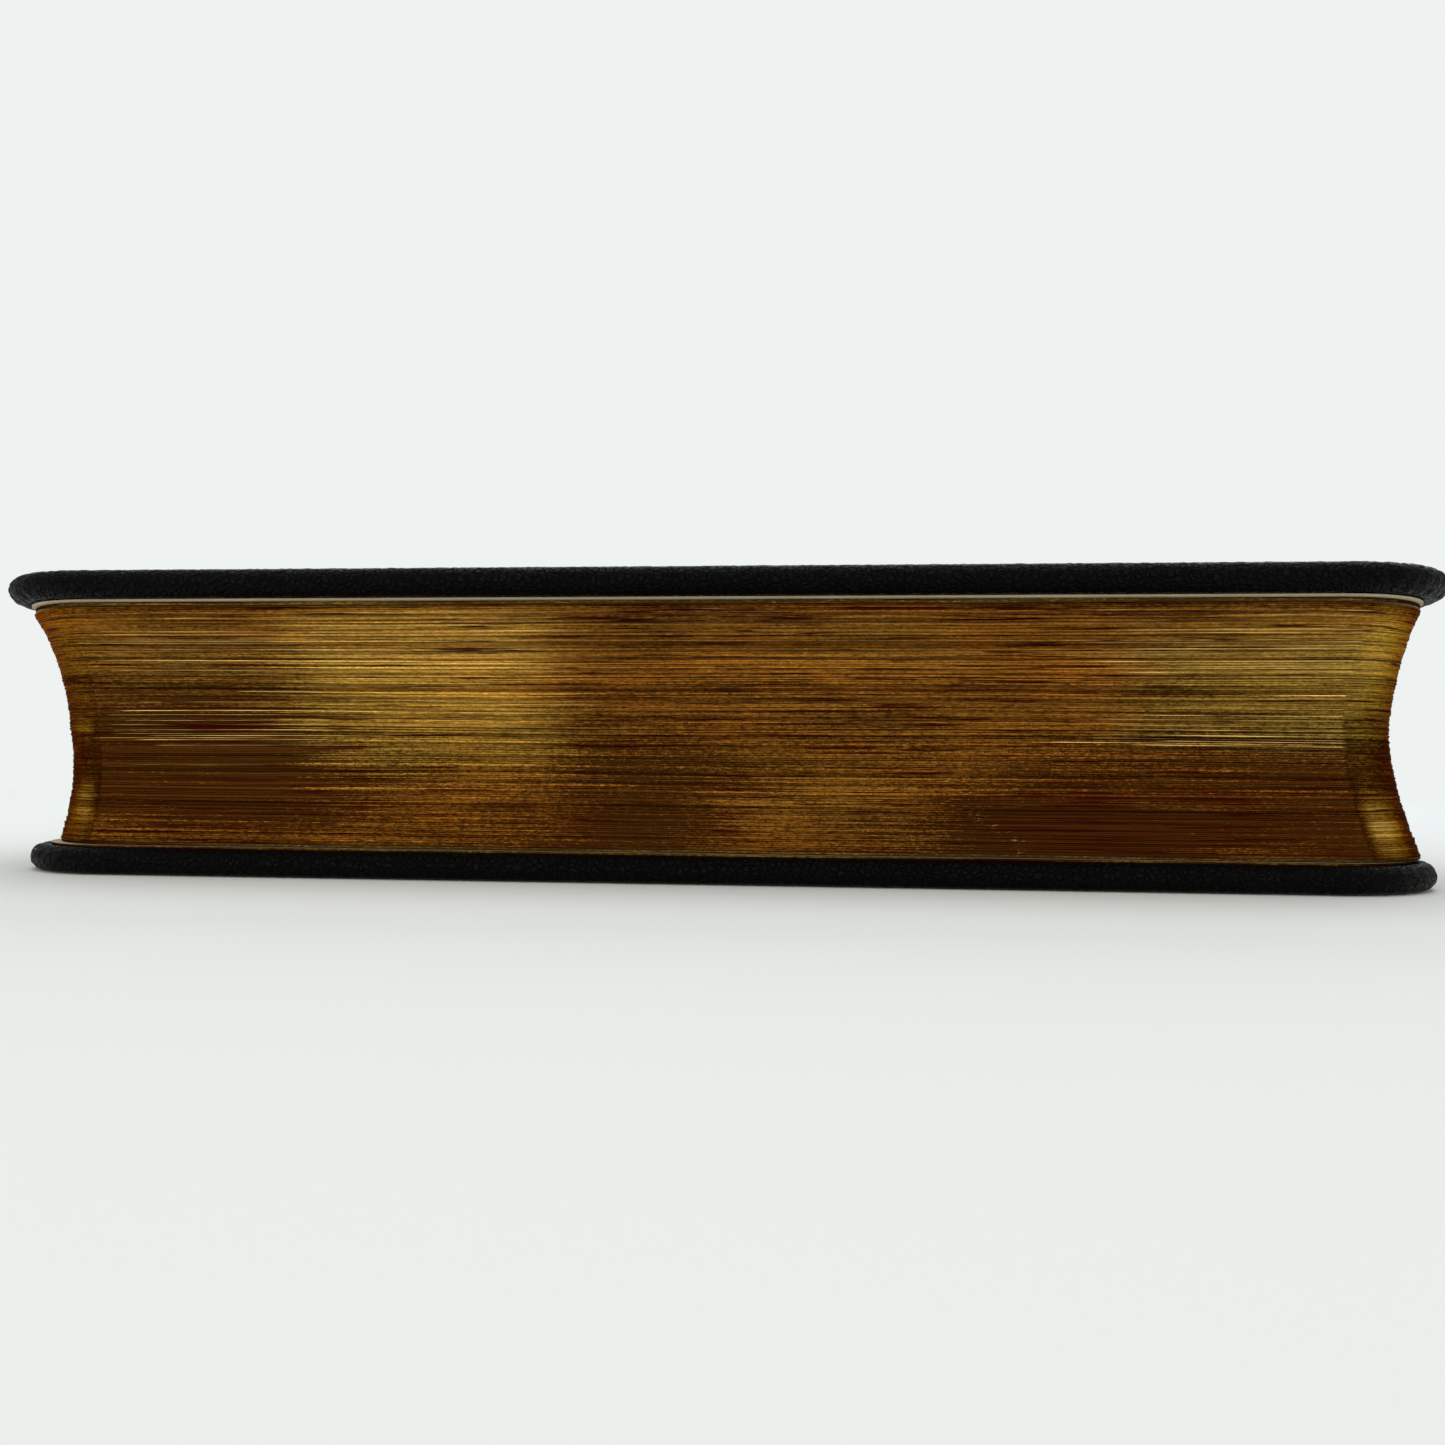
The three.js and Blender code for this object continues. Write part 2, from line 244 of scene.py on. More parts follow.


# Gold leaf burnished over a red-stained edge, then rubbed: satin gold with coppery and brown patches,
# brighter and darker patches painted in as reflection and shade, pale lines painted as highlights where leaf
# edges catch the light, a fine grain of flaked gold, and dark red lines where leaves part. Streaks are about
# 0.2 mm thick and 15 mm long.
def giltMaterial():
    material, tree, shader = newMaterial("giltEdge")
    marks = {key: addNode(tree, "Attribute", attribute_name=key).outputs["Fac"]
             for key in ("lightAndShade", "warmth", "leafTone", "crack", "glint")}
    pattern = {key: addNode(tree, "TexNoise", {"Vector": restPlace(tree, stretch), "Scale": 1.0,
                                                         "Detail": detail, "Roughness": rough})
               for key, (stretch, detail, rough, share) in giltSet["patterns"].items()}
    # the first mark is painted reflection and painted shade on the gilding
    steps = [(marks["lightAndShade"], 1.0), (marks["leafTone"], giltSet["toneShare"])]
    steps += [(pattern[key], values[3]) for key, values in giltSet["patterns"].items() if values[3]]
    total = giltSet["balance"]
    for socket, share in steps:
        total = addNode(tree, "Math", {0: socket, 1: share, 2: total}, operation="MULTIPLY_ADD")
    places = (0.0, 0.35, 0.68, 1.0)
    gold = addNode(tree, "ValToRGB", {"Fac": total}, stops=list(zip(places, giltSet["gold"])))
    coppery = addNode(tree, "ValToRGB", {"Fac": total}, stops=list(zip(places, giltSet["copper"])))
    warmMix = addNode(tree, "Math", {0: pattern["clouds"], 1: 0.8, 2: marks["warmth"]},
                      operation="MULTIPLY_ADD")
    warmFac = addNode(tree, "MapRange",
                      {0: warmMix, 1: giltSet["warmFrom"][0], 2: giltSet["warmFrom"][1]})
    leafColour = addNode(tree, "MixRGB", {"Fac": warmFac, 1: gold, 2: coppery})

    (x0, z0), (x1, z1) = giltSet["scuffFrom"], giltSet["scuffTo"]
    length = math.hypot(x1 - x0, z1 - z0)
    across = ((z1 - z0) / length, 0, -(x1 - x0) / length)
    offLine = addNode(tree, "VectorMath", {0: restPlace(tree), 1: across}, operation="DOT_PRODUCT")
    bend = 7.0  # mm that the scuff strays to either side together
    ragged = addNode(tree, "Math", {0: pattern["clouds"], 1: bend, 2: offLine.outputs["Value"]},
                     operation="MULTIPLY_ADD")
    centred = addNode(tree, "Math", {0: ragged, 1: bend / 2 + across[0] * x0 + across[2] * z0},
                      operation="SUBTRACT")
    distance = addNode(tree, "Math", {0: centred}, operation="ABSOLUTE")
    near = addNode(tree, "MapRange", {0: distance, 1: giltSet["scuffWidth"][0],
                                                2: giltSet["scuffWidth"][1], 3: 0.35, 4: 0.0})
    flake = addNode(tree, "MapRange", {0: pattern["specks"], 1: 0.58, 2: 0.7})
    scuff = addNode(tree, "Math", {0: near, 1: flake}, operation="MULTIPLY")

    # painted highlights along leaf edges, joined below with scuffs worn through the gold
    glintMix = addNode(tree, "Math", {0: pattern["partings"], 1: 1.6, 2: marks["glint"]},
                       operation="MULTIPLY_ADD")
    glintFac = addNode(tree, "MapRange", {0: glintMix, 1: giltSet["glintFrom"][0],
                                                    2: giltSet["glintFrom"][1], 3: 0.0, 4: 0.95})
    rubbedAndHighlit = addNode(tree, "Math", {0: glintFac, 1: scuff}, operation="MAXIMUM")
    bright = addNode(tree, "MixRGB", {"Fac": rubbedAndHighlit, 1: leafColour, 2: srgb(giltSet["glint"])})
    parted = addNode(tree, "Math", {0: marks["crack"], 1: 0.13, 2: pattern["cracks"]},
                     operation="MULTIPLY_ADD")
    redFac = addNode(tree, "MapRange", {0: parted, 1: giltSet["crackFrom"][0],
                                                  2: giltSet["crackFrom"][1], 3: 0.0, 4: 0.95})
    colour = addNode(tree, "MixRGB", {"Fac": redFac, 1: bright, 2: srgb(giltSet["red"])})
    metal = addNode(tree, "MapRange", {0: redFac, 1: 0.0, 2: 1.0, 3: 1.0, 4: 0.94})
    rough = addNode(tree, "MapRange", {0: total, 1: 0.0, 2: 1.0, 3: giltSet["roughness"][0],
                                                 4: giltSet["roughness"][1]})
    bump = addNode(tree, "Bump", {"Strength": 0.35, "Distance": 0.04 * mm, "Height": pattern["streaks"]})
    pits = addNode(tree, "Bump",
                   {"Strength": 0.45, "Distance": 0.03 * mm, "Height": pattern["specks"], "Normal": bump})
    fillInputs(tree, shader, {"Base Color": colour, "Metallic": metal, "Roughness": rough, "Normal": pits,
                              "Specular Tint": srgb(giltSet["grazing"])})
    return material


paperSet = {"leaf": "#E6DCC4", "leafDark": "#CDBE9E", "cream": "#D8CBB0", "creamDark": "#B9A889",
            "aged": "#5E472C"}


# Bible paper, calendered very thin: smooth, faintly mottled, with short fibres along the leaf.
def biblePaperMaterial():
    material, tree, shader = newMaterial("biblePaper")
    mottle = addNode(tree, "TexNoise",
                     {"Vector": restPlace(tree), "Scale": 0.12, "Detail": 5.0, "Roughness": 0.6})
    fibres = addNode(tree, "TexNoise",
                     {"Vector": restPlace(tree, (2.5, 0.8, 4)), "Scale": 1.0, "Detail": 3.0})
    tone = addNode(tree, "Math", {0: fibres, 1: 0.35, 2: mottle}, operation="MULTIPLY_ADD")
    colour = addNode(tree, "ValToRGB", {"Fac": tone},
                     stops=[(0.35, paperSet["leafDark"]), (0.85, paperSet["leaf"])])
    bump = addNode(tree, "Bump", {"Strength": 0.3, "Distance": 0.02 * mm, "Height": fibres})
    fillInputs(tree, shader, {"Base Color": colour, "Normal": bump, "Roughness": 0.7})
    return material


# Laid endpaper, uncalendered: soft fibres, and laid lines drawn 2 mm apart, twice as coarse as real ones, so
# that they show. Cream, gone brown at the rim.
def laidPaperMaterial():
    material, tree, shader = newMaterial("laidPaper")
    lines = addNode(tree, "TexWave", {"Vector": restPlace(tree), "Scale": 0.16,
                                                "Distortion": 0.4, "Detail": 2.0}, bands_direction="X")
    mottle = addNode(tree, "TexNoise",
                     {"Vector": restPlace(tree), "Scale": 0.09, "Detail": 6.0, "Roughness": 0.65})
    fibres = addNode(tree, "TexNoise",
                     {"Vector": restPlace(tree, (3, 1, 3)), "Scale": 1.0, "Detail": 4.0})
    tone = addNode(tree, "Math", {0: fibres, 1: 0.3, 2: mottle}, operation="MULTIPLY_ADD")
    colour = addNode(tree, "ValToRGB", {"Fac": tone},
                     stops=[(0.35, paperSet["creamDark"]), (0.8, paperSet["cream"])])
    age = addNode(tree, "Attribute", attribute_name="age")
    aged = addNode(tree, "MixRGB", {"Fac": age.outputs["Fac"], 1: colour, 2: srgb(paperSet["aged"])})
    relief = addNode(tree, "Math", {0: lines.outputs["Fac"], 1: 0.4, 2: fibres}, operation="MULTIPLY_ADD")
    bump = addNode(tree, "Bump", {"Strength": 0.4, "Distance": 0.03 * mm, "Height": relief})
    fillInputs(tree, shader, {"Base Color": aged, "Normal": bump, "Roughness": 0.85})
    return material


boardSet = {"fleck": 0.4, "colours": ("#6E604A", "#8F8068", "#A89A80")}


# Pasteboard, pressed from waste paper: grey-brown with dark and pale flecks about 0.4 mm across.
def pasteboardMaterial():
    material, tree, shader = newMaterial("pasteboard")
    place = objectPlace(tree)
    flecks = addNode(tree, "TexVoronoi", {"Vector": place, "Scale": 1 / boardSet["fleck"]})
    felt = addNode(tree, "TexNoise", {"Vector": place, "Scale": 1.3, "Detail": 6.0})
    tone = addNode(tree, "Math", {0: flecks, 1: 0.25, 2: felt}, operation="MULTIPLY_ADD")
    colour = addNode(tree, "ValToRGB", {"Fac": tone},
                     stops=list(zip((0.3, 0.6, 0.9), boardSet["colours"])))
    bump = addNode(tree, "Bump", {"Strength": 0.5, "Distance": 0.05 * mm, "Height": felt})
    fillInputs(tree, shader, {"Base Color": colour, "Normal": bump, "Roughness": 0.9})
    return material


linenSet = {"dark": "#8F7E5C", "pale": "#DDD2B8", "weave": 0.225}  # a wave every 1.4 mm: over and under


# Linen thread and mull, plain-woven and glued: threads 0.7 mm apart, stiff and dull with glue.
def linenMaterial():
    material, tree, shader = newMaterial("linen")
    place = objectPlace(tree)
    warp, weft = (addNode(tree, "TexWave",
                          {"Vector": place, "Scale": linenSet["weave"], "Distortion": 0.5, "Detail": 1.0},
                          bands_direction=axis).outputs["Fac"] for axis in "XZ")
    weave = addNode(tree, "Math", {0: warp, 1: weft}, operation="MAXIMUM")
    fuzz = addNode(tree, "TexNoise", {"Vector": place, "Scale": 2.0, "Detail": 4.0})
    tone = addNode(tree, "Math", {0: fuzz, 1: 0.5, 2: weave}, operation="MULTIPLY_ADD")
    colour = addNode(tree, "ValToRGB", {"Fac": tone},
                     stops=[(0.3, linenSet["dark"]), (1.0, linenSet["pale"])])
    bump = addNode(tree, "Bump", {"Strength": 0.6, "Distance": 0.1 * mm, "Height": weave})
    fillInputs(tree, shader, {"Base Color": colour, "Normal": bump, "Roughness": 0.8})
    return material


bandSet = {"stripe": 1.5, "red": "#7C1A1E", "cream": "#D9CBA6"}


# End band wound in two silks: red and cream stripes 1.5 mm wide, with a silky sheen along the thread.
def silkMaterial():
    material, tree, shader = newMaterial("silk")
    place = restPlace(tree)
    split = addNode(tree, "SeparateXYZ", {0: place})
    turn = addNode(tree, "Math", {0: split.outputs["Z"], 1: math.pi / bandSet["stripe"]},
                   operation="MULTIPLY")
    stripe = addNode(tree, "Math", {0: turn}, operation="SINE")
    side = addNode(tree, "MapRange", {0: stripe, 1: -0.12, 2: 0.12})
    fuzz = addNode(tree, "TexNoise", {"Vector": place, "Scale": 5.0, "Detail": 3.0})
    colour = addNode(tree, "MixRGB", {"Fac": side, 1: srgb(bandSet["red"]), 2: srgb(bandSet["cream"])})
    shaded = addNode(tree, "MixRGB", {"Fac": 0.35, 1: colour, 2: fuzz}, blend_type="MULTIPLY")
    bump = addNode(tree, "Bump", {"Strength": 0.4, "Distance": 0.03 * mm, "Height": fuzz})
    fillInputs(tree, shader, {"Base Color": shaded, "Normal": bump, "Roughness": 0.45})
    return material


goatskin = goatskinMaterial()
gilt = giltMaterial()
biblePaper = biblePaperMaterial()
laidPaper = laidPaperMaterial()
pasteboard = pasteboardMaterial()
linen = linenMaterial()
silk = silkMaterial()
print("materials made")


def makePiece(name, points, faces, materials, faceMaterials=None, marks=None, sharp=None):
    points = np.asarray(points, float)
    mesh = bpy.data.meshes.new(name)
    mesh.from_pydata((points * mm).tolist(), [], [list(map(int, f)) for f in faces])
    for material in materials:
        mesh.materials.append(material)
    if faceMaterials is not None:
        mesh.polygons.foreach_set("material_index", np.asarray(faceMaterials, np.int32))
    mesh.polygons.foreach_set("use_smooth", [True] * len(mesh.polygons))
    if sharp is not None:
        ends = np.zeros(len(mesh.edges) * 2, np.int32)
        mesh.edges.foreach_get("vertices", ends)
        ends = ends.reshape(-1, 2)
        isHard = np.zeros(len(ends), bool)
        for line in sharp:
            isHard |= (line[ends[:, 0]] >= 0) & (line[ends[:, 0]] == line[ends[:, 1]])
        hard = mesh.attributes.new("sharp_edge", "BOOLEAN", "EDGE")
        hard.data.foreach_set("value", isHard)
    rest = mesh.attributes.new("restPlace", "FLOAT_VECTOR", "POINT")
    rest.data.foreach_set("vector", (points * mm).astype(np.float32).ravel())
    for key, values in (marks or {}).items():
        mark = mesh.attributes.new(key, "FLOAT", "POINT")
        mark.data.foreach_set("value", np.asarray(values, np.float32))
    mesh.update()
    return addObject(name, mesh)


blockSet = {
    "roundness": 5.0,  # bulge of the spine and hollow of the fore-edge
    "cornerRadius": 10.6,
    "trim": 0.15,  # the leaves were trimmed a little inside their nominal size
    "cornerCrease": 15,  # degrees at which the corners, cut with a gouge, meet the fore-edge
    "layers": 4,  # bundles of leaves that show in one gathering; single leaves are too thin to show
    "columns": 69,
    "arcRows": 9,
    "gap": 0.03,  # between gatherings that turn
    "unevenness": 0.03,  # how far leaves stand out past each other
    "groove": 0.022,  # how deep the edge dips between leaves
    "sectionGroove": 0.045,  # and between gatherings
    "lean": 1.6,  # the lower leaves have slid this far towards the tail
    "coverLean": 0.8,
    "litShare": 0.45,  # of the bundles catch the light
}


def shiftAt(z):
    return -blockSet["roundness"] * ((z - middle) / ((blockTop - blockBase) / 2)) ** 2


def leanAt(y, z, amount):
    below = np.clip((middle - z) / ((blockTop - blockBase) / 2), 0, 1)
    return amount * below * smoothstep((foldY - 8 - y) / 75)


# the uppermost leaves wave a little and sink at the two corners
def sagAt(x, y, z):
    front = smoothstep((12 - y) / 50)  # none near the fold
    upper = smoothstep((z - blockTop + 3.2) / 3.0)  # only the top 3 mm
    wave = 0.16 * np.exp(-((x - 28) / 5) ** 2) + 0.05 * (0.5 + 0.5 * np.sin(x / 6.0))
    corners = 0.24 * smoothstep((x - 58) / 6) + 0.42 * np.clip((-x - 57) / 14, 0, 1) ** 2
    height = np.clip((z - blockBase) / (blockTop - blockBase), 0, 1)
    inner = 0.08 * np.sin(x / 11 + z / 3) * np.sin(np.pi * height)  # slight waves in the leaves between
    return front * (inner - upper * (wave + corners))


# rows run from the fold to the fore-edge; the last ones go round the corners
def leafRows(fromY, toY, fine):
    radius = blockSet["cornerRadius"]
    crease = math.radians(blockSet["cornerCrease"])
    centreY = toY + radius * math.cos(crease)
    straight = np.concatenate([np.linspace(fromY, fine, 20)[:-1], np.linspace(fine, centreY, 7)])
    angles = np.linspace(0, math.pi / 2 - crease, blockSet["arcRows"] + 1)[1:]
    rowsY = np.concatenate([straight, centreY - radius * np.sin(angles)])
    halves = np.concatenate([np.full(len(straight), leafHalf), leafHalf - radius + radius * np.cos(angles)])
    halves = halves - blockSet["trim"]
    normals = np.concatenate([np.tile([1.0, 0.0], (len(straight), 1)),
                              np.stack([np.cos(angles), -np.sin(angles)], 1)])
    return rowsY, halves, normals


def wobble(rng, along, amount, length):
    out = np.zeros_like(along)
    for octave in range(4):
        wave = length / 2 ** octave
        out += np.sin(along * 2 * math.pi / wave + rng.uniform(0, 2 * math.pi)) * amount / (1.4 ** octave)
    return out / 2.2


# patches on the fore-edge's gilding: the first zones, of brightness, are painted reflection and painted
# shade, with some rubbing; warmth is the gold's toning, glint painted highlights on leaf edges, crack the
# red partings; reach along X with its softness at each end, reach along Z with its softness, then strength
giltZones = {
    "lightAndShade": [
        ((-80, 80), (3, 3), (-9, 40), 3, 0.02),
        ((-80, 80), (3, 3), (14, 40), 9, 0.09),
        ((-41, -13), (5, 8), (13, 27), 7, 0.25),
        ((-42, -13), (6, 9), (-9, 13), 7, 0.11),
        ((3, 42), (6, 6), (14, 26), 6, 0.04),
        ((3, 32), (5, 8), (8, 16), 4, 0.05),
        ((3, 24), (4, 6), (-9, 9), 4, 0.09),
        ((40, 70), (7, 3), (17, 25.5), 4, 0.10),
        ((54, 70), (9, 3), (18, 26.5), 4, 0.07),
        ((-80, 80), (3, 3), (20.5, 40), 3, 0.08),
        ((-41, -16), (5, 6), (21, 40), 3, 0.10),
        ((0, 27), (5, 6), (20.5, 40), 3, 0.06),
        ((27, 70), (6, 3), (-9, 8.5), 4, -0.08),
        ((26, 44), (8, 6), (-9, 7.5), 2, -0.13),
        ((8, 44), (5, 5), (-9, 5.4), 1.5, -0.05),
        ((-24, -6), (4, 4), (-9, 7.5), 2, -0.06),
        ((-56, -33), (5, 6), (4, 11), 3, -0.06),
        ((-56, -40), (5, 6), (11, 17.5), 3, -0.08),
        ((-50, -8), (5, 5), (17.5, 20.5), 2, -0.04),
        ((46, 70), (5, 3), (9, 14.5), 3, -0.08),
        ((8, 18), (5, 5), (18, 23), 3, 0.05),
        ((2, 22), (4, 6), (5, 10), 3, 0.06),
        ((24, 34), (5, 5), (10, 15), 3, 0.04),
        ((47, 57), (4, 4), (-9, 5.8), 1.5, 0.06),
        ((-70, -37), (4, 6), (6, 17.5), 4, -0.11),
        ((-80, 80), (3, 3), (26.2, 31), 0.8, -0.05),
        ((56, 80), (5, 3), (26, 31), 0.8, -0.14),
        ((-70, -44), (4, 8), (-9, 5.4), 1.5, 0.10),
        ((-13, 2), (5, 5), (-9, 10), 5, -0.04),
    ],
    "warmth": [
        ((-80, 80), (3, 3), (-9, 40), 3, 0.75),
        ((-42, -14), (6, 7), (11, 26.5), 5, -0.62),
        ((44, 70), (6, 3), (13, 24), 4, -0.6),
        ((56, 70), (4, 3), (14, 27), 4, -0.2),
        ((-70, -42), (4, 6), (17, 26), 5, -0.1),
        ((-70, -10), (5, 5), (-9, 8), 3, 0.15),
        ((3, 20), (4, 5), (5, 12), 4, -0.2),
        ((-12, 40), (6, 6), (25.9, 31), 1.2, 0.35),
        ((27, 60), (5, 5), (-9, 9), 4, 0.3),
    ],
    "glint": [
        ((-62, -38), (3, 9), (11, 26), 2, 0.85),
        ((40, 66), (6, 1.5), (13, 26.3), 2, 0.95),
        ((-38, -12), (8, 6), (15, 26), 2, 0.6),
        ((-12, 40), (6, 6), (24.5, 26.6), 1, 0.4),
    ],
    "crack": [
        ((-14, 44), (8, 8), (25.2, 31), 0.8, 0.75),
        ((3, 48), (9, 9), (6, 24), 5, 0.22),
        ((-70, -40), (4, 8), (-9, 5.2), 1.2, 0.35),
        ((-80, -61), (3, 3), (19, 40), 3, 0.3),
        ((-80, 80), (3, 3), (-9, 40), 3, -0.25),
        ((27, 60), (6, 9), (-9, 10), 4, 0.2),
    ],
}
# painted highlights on the rounded corners: side, height, reach, strength, then how far round the corner
cornerHighlights = [(-1, 14.9, 1.0, 0.28, 2.2), (-1, 7.0, 2.4, 0.4, 2.2), (1, 6.0, 2.8, 0.6, 2.3),
               (1, 22.0, 3.5, 0.12, 2.2)]


def zoneValue(kind, x, z):
    out = np.zeros_like(x)
    for (fromX, toX), (softFrom, softTo), (fromZ, toZ), softZ, strength in giltZones[kind]:
        inX = smoothstep((x - fromX) / softFrom + 0.5) * smoothstep((toX - x) / softTo + 0.5)
        inZ = smoothstep((z - fromZ) / softZ + 0.5) * smoothstep((toZ - z) / softZ + 0.5)
        out += strength * inX * inZ
    return out


def buildGathering(number):
    rng = np.random.default_rng(500 + number)
    pitch = (blockTop - blockBase + blockSet["gap"]) / gatheringCount
    top = blockTop - (number - 1) * pitch
    turning = number <= turningCount
    base = top - pitch + blockSet["gap"] * turning
    rowsY, halves, normals = leafRows(foldY, foreY + 2.7 + blockSet["roundness"], 26 if turning else 38)
    rowCount, columnCount = len(rowsY), blockSet["columns"]
    fractions = np.linspace(-1, 1, columnCount)

    # the outline as places in the grid: fore-edge, head side, fold, tail side
    last = rowCount - 1
    loop = [(last, j) for j in range(columnCount)]
    loop += [(i, columnCount - 1) for i in range(last - 1, -1, -1)]
    loop += [(0, j) for j in range(columnCount - 2, -1, -1)]
    loop += [(i, 0) for i in range(1, last)]
    rowOf = np.array([p[0] for p in loop])
    columnOf = np.array([p[1] for p in loop])
    outX = np.where(rowOf == 0, 0, np.where(columnOf == 0, -normals[rowOf, 0], normals[rowOf, 0]))
    outY = np.where(rowOf == 0, 1, normals[rowOf, 1])
    inside = (rowOf == last) & (columnOf > 0) & (columnOf < columnCount - 1)
    outX = np.where(inside, 0, outX)
    outY = np.where(inside, -1, outY)
    isFold = rowOf == 0
    isCorner = (rowOf == last) & ~inside
    flatX = fractions[columnOf] * halves[rowOf]
    flatY = rowsY[rowOf]
    along = np.where(np.abs(outX) > 0.7, flatY * np.sign(flatX) + flatX, flatX)

    # rings climb through the layers: a groove, then the lower and upper edge of each bundle of leaves
    shares = rng.uniform(0.6, 1.6, blockSet["layers"])
    edges = base + (top - base) * np.concatenate([[0], np.cumsum(shares) / shares.sum()])
    rings = []
    for layer in range(blockSet["layers"]):
        low, high = edges[layer], edges[layer + 1]
        section = layer == 0
        groove = blockSet["sectionGroove"] if section else blockSet["groove"] * rng.uniform(0.2, 1.6)
        stand = rng.normal(0, blockSet["unevenness"]) + wobble(rng, along, 0.02, 70)
        tone = rng.normal(0, 0.6) + wobble(rng, along, 0.6, 90)
        lean = rng.uniform(-0.02, 0.03)
        parting = rng.uniform(0.35, 1.15) + wobble(rng, along, 0.25, 60) + 0.1 * section
        lit = rng.uniform(0.75, 1.1) * (rng.random() < blockSet["litShare"])
        rings.append((low, stand * 0.3 - groove, tone - 0.8, parting, 0))
        rings.append((low + 0.25 * (high - low), stand - lean, tone, 0.1, 0))
        rings.append((low + 0.82 * (high - low), stand + lean, tone, 0.0, lit))
    rings.append((top, 0 * along - blockSet["sectionGroove"], tone - 0.8, parting, 0))

    points, ringOf = [], []
    marks = {key: [] for key in ("lightAndShade", "warmth", "leafTone", "crack", "glint")}
    creaseX = leafHalf - blockSet["cornerRadius"] * (1 - math.sin(math.radians(blockSet["cornerCrease"])))

    def addRing(x, y, z, tone, crack, lit, ring):
        drift, gleam = rng.normal(0, 2.2), rng.uniform(0.1, 1.0) ** 1.5
        ragX = x + drift
        ragZ = z + np.where(z < blockTop - 2, 0.25 * drift, 0)
        points.append(np.stack([x + leanAt(y, z, blockSet["lean"]), y, z + sagAt(x, y, z)], 1))
        onCorner = smoothstep((np.abs(x) - creaseX) / 0.8)
        # brightness: painted reflection and painted shade on the gilding, with some rubbing
        lightAndShade = zoneValue("lightAndShade", ragX, ragZ) + 0.05 * onCorner
        # pale marks on the rounded corners: painted highlights, carried in the glint mark
        pale = 0.28 * onCorner * (x < 0) * gleam * smoothstep((19 - z) / 3)
        cornerGlints = 0 * x
        for side, height, reach, strength, turned in cornerHighlights:
            near = np.exp(-((np.abs(x) - creaseX - turned) / turned) ** 2 - ((z - height) / reach) ** 2)
            near = near * onCorner * (np.sign(x) == side)
            lightAndShade += strength * near * (0.5 + gleam)
            pale = pale + 1.2 * strength * near * gleam
            cornerGlints = cornerGlints + near
        deep = smoothstep((-30 - y) / 6)  # the zones are for the fore-edge; head and tail get one even tone and brightness
        warmth = zoneValue("warmth", ragX, ragZ) * deep + 0.55 * (1 - deep)
        marks["lightAndShade"].append(lightAndShade * deep + 0.12 * (1 - deep))
        marks["warmth"].append(warmth - 0.15 * onCorner - 0.4 * cornerGlints)
        marks["glint"].append(zoneValue("glint", x + 2.4 * drift, z) * lit * (1 - onCorner) + pale)
        marks["leafTone"].append(tone + 0 * x)
        marks["crack"].append(crack + zoneValue("crack", ragX, z) * deep * (0.4 + 0.6 * gleam))
        ringOf.append(np.full(len(x), ring))

    for ring, (z, stand, tone, crack, lit) in enumerate(rings):
        offset = np.where(isFold, -0.3 * (2 * (z - base) / (top - base) - 1) ** 2, stand)
        heights = np.full(len(flatX), z)
        x = flatX + outX * offset
        y = flatY + outY * offset + shiftAt(z)
        addRing(x, y, heights, tone, crack, lit, ring)
    loopCount = len(loop)
    cornerLine = np.where(isCorner, columnOf, -1)
    lineOf = [cornerLine] * len(rings)

    # the flat faces: the outline's points are shared, and the rest fill the grid
    faces, kinds = [], []
    for cap, (ring, z) in enumerate(((0, base), (len(rings) - 1, top))):
        index = -np.ones((rowCount, columnCount), int)
        index[rowOf, columnOf] = ring * loopCount + np.arange(loopCount)
        innerRows, innerColumns = np.where(index < 0)
        start = sum(len(p) for p in points)
        index[innerRows, innerColumns] = start + np.arange(len(innerRows))
        x = fractions[innerColumns] * halves[innerRows]
        y = rowsY[innerRows] + shiftAt(z)
        addRing(x, y, np.full(len(x), z), 0, 0, 0, -1)
        lineOf.append(np.full(len(x), -1))
        for i in range(last):
            for j in range(columnCount - 1):
                quad = [index[i, j], index[i, j + 1], index[i + 1, j + 1], index[i + 1, j]]
                faces.append(quad if cap == 0 else quad[::-1])
                kinds.append(0)
    for ring in range(len(rings) - 1):
        for k in range(loopCount):
            n = (k + 1) % loopCount
            a, b = ring * loopCount + k, ring * loopCount + n
            faces.append([a, b, b + loopCount, a + loopCount])
            kinds.append(0 if isFold[k] and isFold[n] else 1)
    joined = {key: np.concatenate(values) for key, values in marks.items()}
    piece = makePiece(f"leaves_{number:02d}", np.concatenate(points), faces, [biblePaper, gilt], kinds,
                      joined, sharp=[np.concatenate(ringOf), np.concatenate(lineOf)])
    if turning:
        bundle = (number + 1) // 2
        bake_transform(piece)
        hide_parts(f"gathering_{number:02d}", f"sewn_folds_{bundle}")
    else:
        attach(piece, "text_block")
        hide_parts(f"gathering_{number:02d}")


for number in range(1, gatheringCount + 1):
    buildGathering(number)
print("leaves made")


# the case: it comes before the endpapers, because the pastedowns are cut to its size and corners
caseSet = {
    "corner": 12.8,
    "edge": 1.35,  # half the thickness of a cover: its edge is fully round
    "thickness": 0.8,
    "turnInThickness": 0.35,
    "doubled": 1.2,  # leather and turn-in together, where there is no board
    "grooveDepth": 1.55,
    "seamY": 39.8,  # where the cover's leather meets the spine's, inside the joint
    "bendEnd": 36.8,  # it bends from the seam to here, short enough to clear the table as the cover opens
    "pleat": 0.16,  # small tucks where the leather is gathered round the corners
    "pebble": 0.9,  # the grain that is modelled on the edges: about twice as coarse as the real one
    "relief": 0.06,
    "pleatsPerCorner": 11,
    "legPoints": 126,
    "arcPoints": 47,
    "frontPoints": 301,
    "edgeRings": 21,
}

endpaperSet = {"pastedownMargin": 2.0, "turnIn": 14.0, "sagShare": 0.35, "columns": 41,
               "browning": (0.36, 1.0)}  # at the edge of a clean sheet, and of one stained with the leaves


